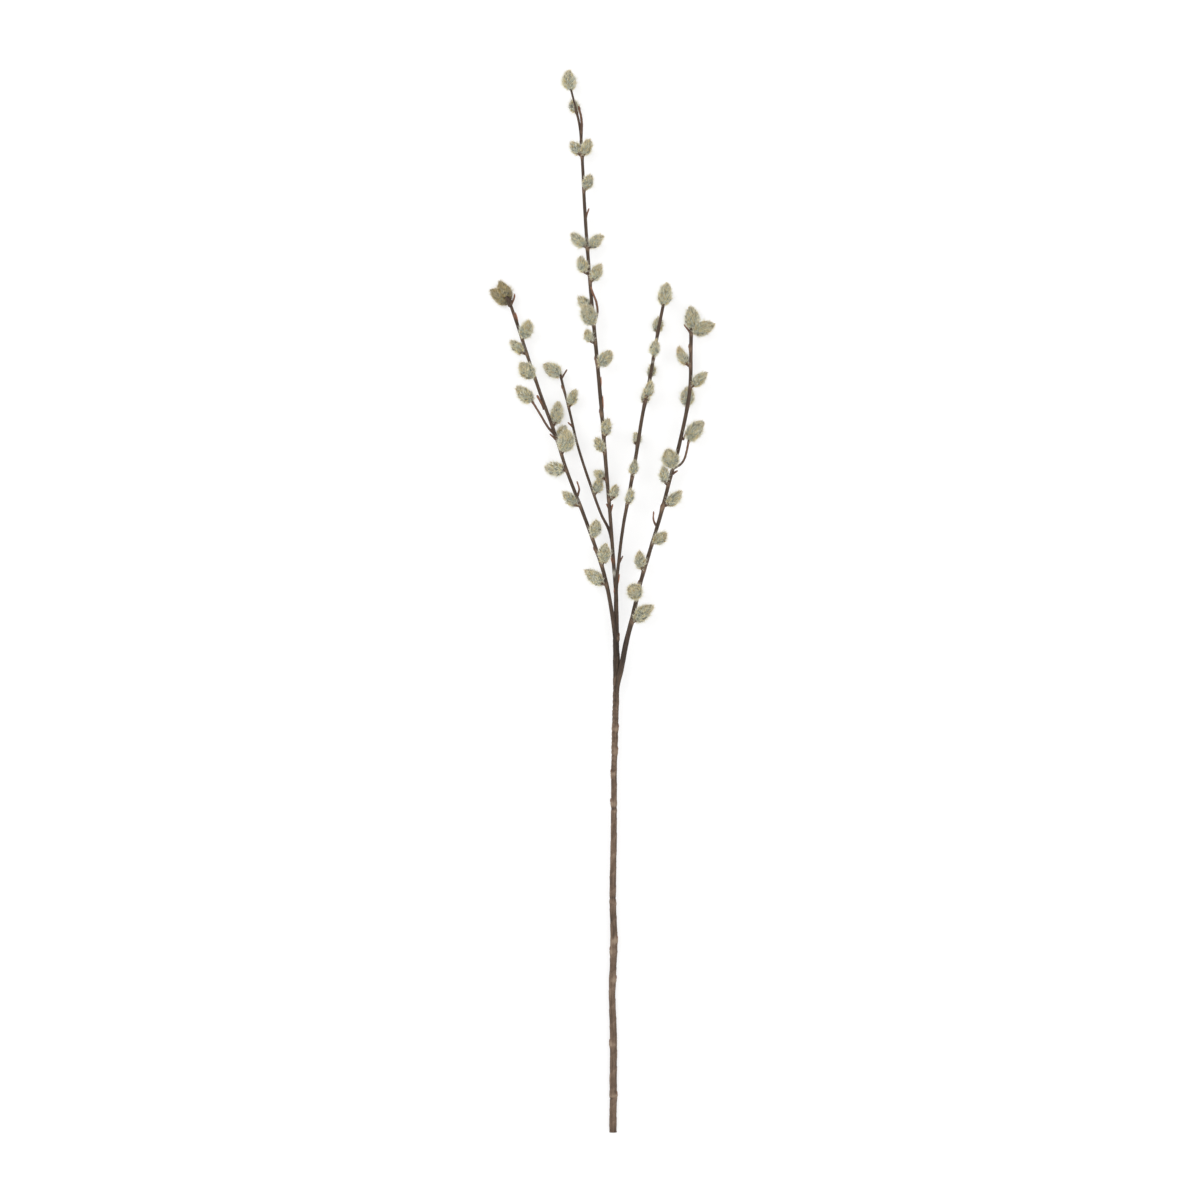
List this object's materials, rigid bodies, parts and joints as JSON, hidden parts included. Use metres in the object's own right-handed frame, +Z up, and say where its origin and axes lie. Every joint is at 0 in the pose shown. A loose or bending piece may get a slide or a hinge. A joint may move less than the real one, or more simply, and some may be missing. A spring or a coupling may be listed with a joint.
{
  "type": "willow twig",
  "caption": "Cut twig of pussy willow lying on its side: a straight brown stem that forks into long upright branches set with furry silver-grey catkins.",
  "frame": {"origin": "middle of the twig's own box, on the ground under it", "axes": "+Y along the stem from the cut end to the highest tip, +X to the right seen from above, +Z up from the ground it lies on"},
  "size_m": [0.1914, 0.9, 0.0349],
  "materials": {
    "bark": "matt brown bark, paler and greyer towards the cut end",
    "catkin_fur": "short soft silver-grey hair with cream tips"
  },
  "bodies": {
    "root": {"catkin_main_stem_01": "catkin_fur", "catkin_main_stem_02": "catkin_fur", "catkin_main_stem_03": "catkin_fur", "catkin_main_stem_04": "catkin_fur", "catkin_main_stem_05": "catkin_fur", "catkin_main_stem_06": "catkin_fur", "catkin_main_stem_07": "catkin_fur", "catkin_main_stem_08": "catkin_fur", "catkin_main_stem_09": "catkin_fur", "catkin_main_stem_10": "catkin_fur", "catkin_main_stem_11": "catkin_fur", "catkin_main_stem_12": "catkin_fur", "catkin_main_stem_13": "catkin_fur", "catkin_main_stem_14": "catkin_fur", "catkin_main_stem_15": "catkin_fur", "catkin_main_stem_16": "catkin_fur", "catkin_main_stem_17": "catkin_fur", "main_stem": "bark", "catkin_left_outer_branch_01": "catkin_fur", "catkin_left_outer_branch_02": "catkin_fur", "catkin_left_outer_branch_03": "catkin_fur", "catkin_left_outer_branch_04": "catkin_fur", "catkin_left_outer_branch_05": "catkin_fur", "catkin_left_outer_branch_06": "catkin_fur", "catkin_left_outer_branch_07": "catkin_fur", "catkin_left_outer_branch_08": "catkin_fur", "catkin_left_outer_branch_09": "catkin_fur", "catkin_left_outer_branch_10": "catkin_fur", "catkin_left_outer_branch_11": "catkin_fur", "catkin_left_outer_branch_12": "catkin_fur", "catkin_left_outer_branch_twins": "catkin_fur", "left_outer_branch": "bark", "catkin_left_inner_branch_01": "catkin_fur", "catkin_left_inner_branch_02": "catkin_fur", "catkin_left_inner_branch_03": "catkin_fur", "left_inner_branch": "bark", "catkin_right_inner_branch_01": "catkin_fur", "catkin_right_inner_branch_02": "catkin_fur", "catkin_right_inner_branch_03": "catkin_fur", "catkin_right_inner_branch_04": "catkin_fur", "catkin_right_inner_branch_05": "catkin_fur", "catkin_right_inner_branch_06": "catkin_fur", "catkin_right_inner_branch_07": "catkin_fur", "catkin_right_inner_branch_08": "catkin_fur", "catkin_right_inner_branch_09": "catkin_fur", "right_inner_branch": "bark", "catkin_right_outer_branch_01": "catkin_fur", "catkin_right_outer_branch_02": "catkin_fur", "catkin_right_outer_branch_03": "catkin_fur", "catkin_right_outer_branch_04": "catkin_fur", "catkin_right_outer_branch_05": "catkin_fur", "catkin_right_outer_branch_06": "catkin_fur", "catkin_right_outer_branch_07": "catkin_fur", "catkin_right_outer_branch_08": "catkin_fur", "catkin_right_outer_branch_09": "catkin_fur", "catkin_right_outer_branch_10": "catkin_fur", "catkin_right_outer_branch_11": "catkin_fur", "catkin_right_outer_branch_12": "catkin_fur", "catkin_right_outer_branch_13": "catkin_fur", "right_outer_branch": "bark"}
  },
  "joints": []
}
